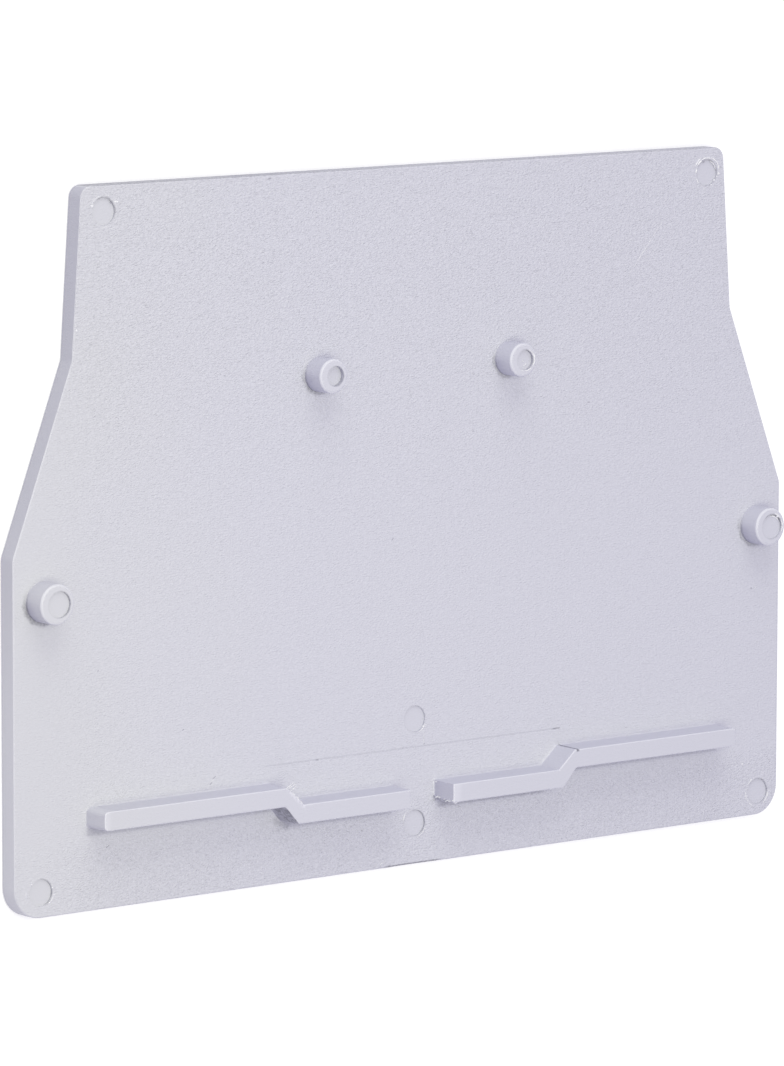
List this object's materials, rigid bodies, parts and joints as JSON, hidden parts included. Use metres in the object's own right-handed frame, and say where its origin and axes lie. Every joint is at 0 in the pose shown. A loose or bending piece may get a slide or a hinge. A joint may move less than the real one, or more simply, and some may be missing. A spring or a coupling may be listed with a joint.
{
  "type": "terminal block end cover",
  "caption": "Thin moulded plate that closes the open side of the last terminal block in a row, with locating pegs and stepped ribs on its inner face.",
  "frame": {"origin": "middle of the outline on the plain outer face, which is the underside as the cover lies", "axes": "+X across the cover's width, +Y up its height towards the narrow top, +Z out of the inner face that carries the pegs and ribs"},
  "size_m": [0.056, 0.04, 0.003],
  "materials": {
    "moulded_plastic": "fine spark-eroded matt"
  },
  "bodies": {
    "root": {"end_cover": "moulded_plastic"}
  },
  "joints": []
}
